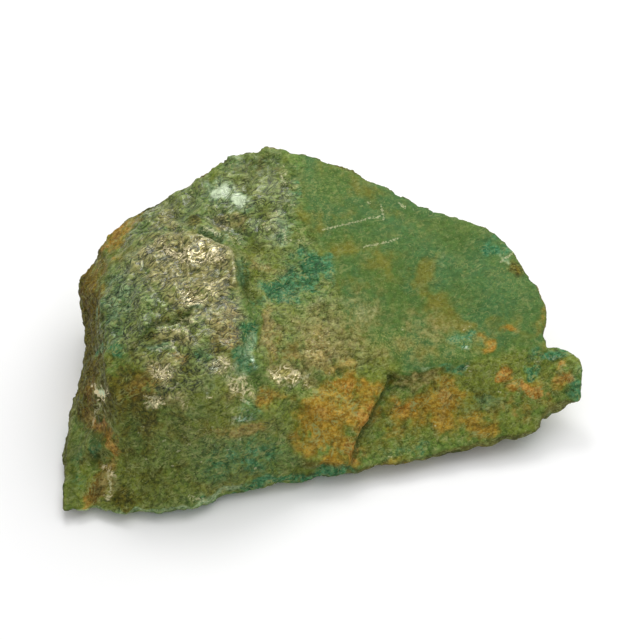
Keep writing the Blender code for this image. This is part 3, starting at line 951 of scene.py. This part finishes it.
drift = spread(broad, 0.4, 0.6)
colour = mix(flat_plate, mix(drift, OLIVE, GREY_OLIVE), mix(drift, LEAF, DEEP_LEAF))
clouds = (middling - 0.5) * 1.6
colour = mix(spread(painted("coolness") + clouds, 0.1, 1.0) * 0.6, colour, COOL_GREEN)
colour = mix(spread(painted("warmth") + clouds, 0.2, 1.0) * 0.7, colour, WARM_OLIVE)
colour = mix(spread(middling, 0.48, 0.62) * (0.5 - flat_plate * 0.3), colour, MOSS)
colour = mix(side, colour, mix(spread(bands, 0.38, 0.62), DARK_BAND, PALE_BAND))
colour = mix(spread(flecks, 0.5, 0.66) * rough * 0.7, colour, PALE_GRAIN)
colour = mix(spread(flecks, 0.5, 0.34) * rough * 0.7, colour, DARK_GRAIN)
print("the ground colour takes", len(stone.tree.nodes), "nodes")

# %% [markdown]
# ## The stains
#
# Rust and weathering creep in between the grains, so a stain has no clean edge: it breaks up
# into spots, and inside it the grains take more or less of it. Noise at two sizes does both.
# It raises and lowers the number that the dabs left on the mesh before that is cut off, and
# it chooses between a dark and a light tone of the stain.


# %% Stains with frayed edges
def frayed(name, low, high):
    """Where a stain lies, once noise has eaten into its edges."""
    fray = 1 + (middling - 0.5) * 2.6 + (grains - 0.5) * 1.6
    return spread(painted(name) * fray, low, high)


def two_tone(dark, light):
    """A stain's own colour, mottled from dark to light."""
    return mix(spread(flecks + (specks - 0.5) * 0.4, 0.38, 0.62), dark, light)


TEAL_HEART = shade(40, 94, 54)

teal = frayed("teal", 0.25, 0.9)
brown = frayed("brown", 0.15, 1.0)
colour = mix(teal * 0.9, colour, two_tone(shade(44, 104, 66), shade(82, 146, 104)))
colour = mix(spread(painted("teal"), 0.9, 1.2) * 0.6, colour, TEAL_HEART)
STAINS = [  # (where it lies, how much it covers, its dark tone, its light tone), bottom first
    (frayed("ochre", 0.15, 1.0), 0.82, shade(150, 111, 30), shade(190, 149, 58)),
    (frayed("rust", 0.2, 1.0), 0.75, shade(156, 98, 20), shade(222, 164, 84)),
    (brown, 0.8, shade(62, 54, 6), shade(106, 94, 24)),
    (frayed("beige", 0.15, 0.85), 0.8, shade(126, 118, 58), shade(176, 162, 104)),
]
for stain, cover, dark, light in STAINS:
    colour = mix(stain * cover, colour, two_tone(dark, light))

mint = painted("mint") + (middling - 0.5) * 1.4
colour = mix(
    spread(mint, 0.2, 0.9) * 0.7, colour, two_tone(shade(122, 156, 108), shade(196, 218, 168)))
print("with the stains there are", len(stone.tree.nodes), "nodes")

# %% [markdown]
# ## Crests, furrows and glints
#
# Crumpled mica looks like foil, and the light makes it pale and warm on its crests, dark where
# it folds under, with a few sheets that flash. That light and shade are painted into the colour
# here: painted highlights on the crests and glints, painted shade in the hollows and furrows.
# The mesh hands over its own crests and furrows. The finer ones come from noise. Where smooth
# noise crosses its middle value, it draws a thin winding line, and the distance from that value
# rises from the line on both sides, as foil does from a fold. One helper makes such puckers for
# the dark furrows, the light threads and strokes, and the lines inside each glint.


# %% Crystals, and painted highlights on crests and painted shade in hollows and furrows
def puckered(size, distortion):
    """Swells about `size` millimetres apart, with sharp lines between them at 0."""
    return stone.node("ShaderNodeMath", {"operation": "ABSOLUTE"}, {
        0: mottle(size, 1.5, distortion=distortion, at=along_folds) - 0.5})


GREEN_CREST_HIGHLIGHT, WARM_CREST_HIGHLIGHT = shade(148, 166, 98), shade(188, 180, 118)
HOLLOW_SHADE, FURROW_SHADE, THIN_FURROW_SHADE = shade(48, 62, 12), shade(46, 56, 12), shade(34, 44, 8)

crystals = spread(cells(0.8), 0.3, 0.7)
colour = mix(rough * (0.65 - crinkle * 0.35), colour, crystals * 0.5 + 0.72, "MULTIPLY")
foil = puckered(2.1, 1.2)
thin_furrow = spread(foil, 0.05, 0.0) * spread(mottle(2.6), 0.32, 0.48)
crests = spread(crest + (grains - 0.5) * 1.5, -0.1, 0.8)
shaded_hollows = spread(crest + (grains - 0.5) * 1.5, -0.2, -1.0)
painted_shade = painted("painted_shade") * (1.2 - middling * 0.6)
bright = crinkle * (1 - teal * 0.6) * (1 - brown * 0.9) * (1 - painted_shade) * (1 - side * 0.7)
# Crests painted paler: painted highlights where the crinkles face the light.
colour = mix(crests * bright * 0.6, colour,
             mix(spread(painted("beige"), 0.2, 0.8), GREEN_CREST_HIGHLIGHT, WARM_CREST_HIGHLIGHT))
# Hollows, furrows and thin fold lines painted darker: painted shade.
colour = mix(shaded_hollows * (0.15 + crinkle * 0.25), colour, HOLLOW_SHADE)
colour = mix(furrow * 0.5, colour, FURROW_SHADE)
colour = mix(thin_furrow * (0.06 + crinkle * 0.85), colour, THIN_FURROW_SHADE)
print("with the crests and furrows there are", len(stone.tree.nodes), "nodes")

# %% Threads, strokes, painted shade in deep places, and painted highlights: sparkle, flecks, glints
THREAD, DEEP_SHADE, SPARKLE = shade(156, 162, 100), shade(52, 68, 24), shade(160, 164, 92)
BRUISE, SCRATCH_AND_HIGHLIGHT = shade(226, 244, 204), shade(222, 218, 172)
WARM_GLINT, COOL_GLINT = shade(240, 226, 178), shade(212, 236, 210)

threads = spread(puckered(1.5, 1.0), 0.035, 0.0) * spread(mottle(2.0), 0.45, 0.6)
strokes = spread(puckered(3.2, 1.6), 0.05, 0.0) * spread(mottle(3.0), 0.5, 0.6)
streaks = (threads * 0.7 + strokes * 0.7) * (rough - brown * 0.4)
colour = mix(streaks, colour, THREAD)
# Painted shade in the deep places.
colour = mix(painted_shade * 0.75, colour, DEEP_SHADE)
# Pale specks, most where sparkle is dabbed, painted as highlights of grains catching the light.
sparkle = spread(specks + painted("sparkle") * 0.12, 0.58, 0.74)
colour = mix(sparkle * 0.6, colour, SPARKLE)
colour = mix(spread(mint, 1.0, 1.5) * 0.8, colour, BRUISE)
# Scratches and flakes, and painted highlights on lit lips and in the glints.
fleck_and_highlight = spread(painted("fleck_and_highlight") + (specks - 0.5) * 3, 0.55, 1.0)
colour = mix(fleck_and_highlight * 0.5, colour, SCRATCH_AND_HIGHLIGHT)
shining = spread(painted("glint") * (1 + (middling - 0.5) * 2 + (grains - 0.5) * 2), 0.2, 1.1)
glints = shining * (spread(puckered(1.9, 1.4) - shining * 0.05, 0.03, 0.0) + crests * 0.2)
# Glints in the colour are painted highlights, warm, and cool on the blue-green.
colour = mix(glints, colour, mix(teal, WARM_GLINT, COOL_GLINT))
stone.feed(stone.shader.inputs["Base Color"], colour)
print("the colour takes", len(stone.tree.nodes), "nodes")

# %% [markdown]
# ## Gloss and grain
#
# Mica is glossy, and the grit and the rust between it are dull, so the roughness falls where
# the mesh is crinkled or a glint lies, and rises on brown places. The brightest crests get a
# thin clear coat. What is finer than the net can't be mesh: grains, leaning flakes and the
# swells of the foil go into a bump, which only bends the light.


# %% Gloss
DULLNESS = 0.54  # the roughness of plain green ground
COAT_ROUGHNESS = 0.22
SURFACE_SHINE = 0.2  # less than the usual 0.5, because the stone is dry

stone.feed(stone.shader.inputs["Roughness"],
           DULLNESS - spread(crinkle, 0.0, 0.7) * 0.2 - shining * 0.15 + flat_plate * 0.06
           + brown * 0.15 + (grains - 0.5) * 0.4)
stone.feed(stone.shader.inputs["Metallic"], crinkle * crests * 0.15 + shining * 0.45)
stone.feed(stone.shader.inputs["Coat Weight"], spread(bright, 0.1, 0.9) * 0.55)
stone.feed(stone.shader.inputs["Coat Roughness"], COAT_ROUGHNESS)
stone.feed(stone.shader.inputs["Specular IOR Level"], SURFACE_SHINE)
print("the plain ground has a roughness of", DULLNESS)


# %% Fine grain
def tilted_flakes(size):
    """Little flakes that each lean their own way."""
    lean = stone.node("ShaderNodeVectorMath", {"operation": "SUBTRACT"}, {
        0: cells(size), 1: (0.5, 0.5, 0.5)})
    offset = stone.node("ShaderNodeVectorMath", {"operation": "SUBTRACT"}, {
        0: places, 1: cells(size, "Position")})
    return stone.node("ShaderNodeVectorMath", {"operation": "DOT_PRODUCT"}, {
        0: lean, 1: offset}, "Value") * (2 / (size * MM))


GRAIN_HEIGHT = 0.4  # mm

heights = (
    (grains + specks) * (0.16 - crinkle * 0.06) + flecks * (1 - crinkle) * 0.25
    + tilted_flakes(1.1) * (0.6 - flat_plate * 0.4 - crinkle * 0.25)
    + bands * side + spread(foil, 0.0, 0.14) * (0.1 + crinkle * 0.8)
)
stone.feed(stone.shader.inputs["Normal"], stone.node("ShaderNodeBump", {}, {
    "Strength": 1.0, "Distance": GRAIN_HEIGHT * MM, "Height": heights}))
fine.materials.clear()
fine.materials.append(stone.material)
print("the finish has", len(stone.tree.nodes), "nodes")


# %% [markdown]
# ## Floor and light
#
# The stone lies on a plain pale floor. A bright white sky fills the shadows. One large soft
# light stands behind and above it, a little to the right, and drops a soft shadow to the
# front. A small second one, above and behind, lies where the mica mirrors it to the viewer,
# and makes the crests glint. More lights would flatten the wrinkles.

# %% Floor
FLOOR_SIZE = 3.0  # m
PAPER = (0.93, 0.93, 0.93, 1)  # a floor a little darker than white

floor_shape = bmesh.new()
bmesh.ops.create_grid(floor_shape, x_segments=1, y_segments=1, size=FLOOR_SIZE / 2)
floor_mesh = bpy.data.meshes.new("floor")
floor_shape.to_mesh(floor_mesh)
floor_shape.free()
floor = bpy.data.objects.new("floor", floor_mesh)
bpy.context.scene.collection.objects.link(floor)

paper = bpy.data.materials.new("pale_paper")
paper.use_nodes = True
paper_shader = paper.node_tree.nodes["Principled BSDF"]
paper_shader.inputs["Base Color"].default_value = PAPER
paper_shader.inputs["Roughness"].default_value = 0.9
floor_mesh.materials.append(paper)
print("the floor is", FLOOR_SIZE, "m across")

# %% Light
SKY = 0.64  # brightness of the sky
KEY = ((0.37, 0.4, 0.7), 0.95, 5.0)  # where it stands and how wide it is, in m, and its watts
GLINT = ((-0.12, 0.5, 0.66), 0.25, 1.7)


def softbox(name, place, size, power):
    """A square light that faces the stone."""
    data = bpy.data.lights.new(name, "AREA")
    data.size = size
    data.energy = power
    light = bpy.data.objects.new(name, data)
    light.location = place
    light.rotation_mode = "QUATERNION"
    light.rotation_quaternion = (-Vector(place)).to_track_quat("-Z", "Y")
    bpy.context.scene.collection.objects.link(light)


softbox("key", *KEY)
softbox("glint", *GLINT)
world = bpy.data.worlds.new("sky")
world.use_nodes = True
background = world.node_tree.nodes["Background"]
background.inputs["Color"].default_value = (1, 1, 1, 1)
background.inputs["Strength"].default_value = SKY
bpy.context.scene.world = world
bpy.context.scene.view_settings.view_transform = "Standard"
print("the scene has", len(bpy.data.lights), "lights and a sky")
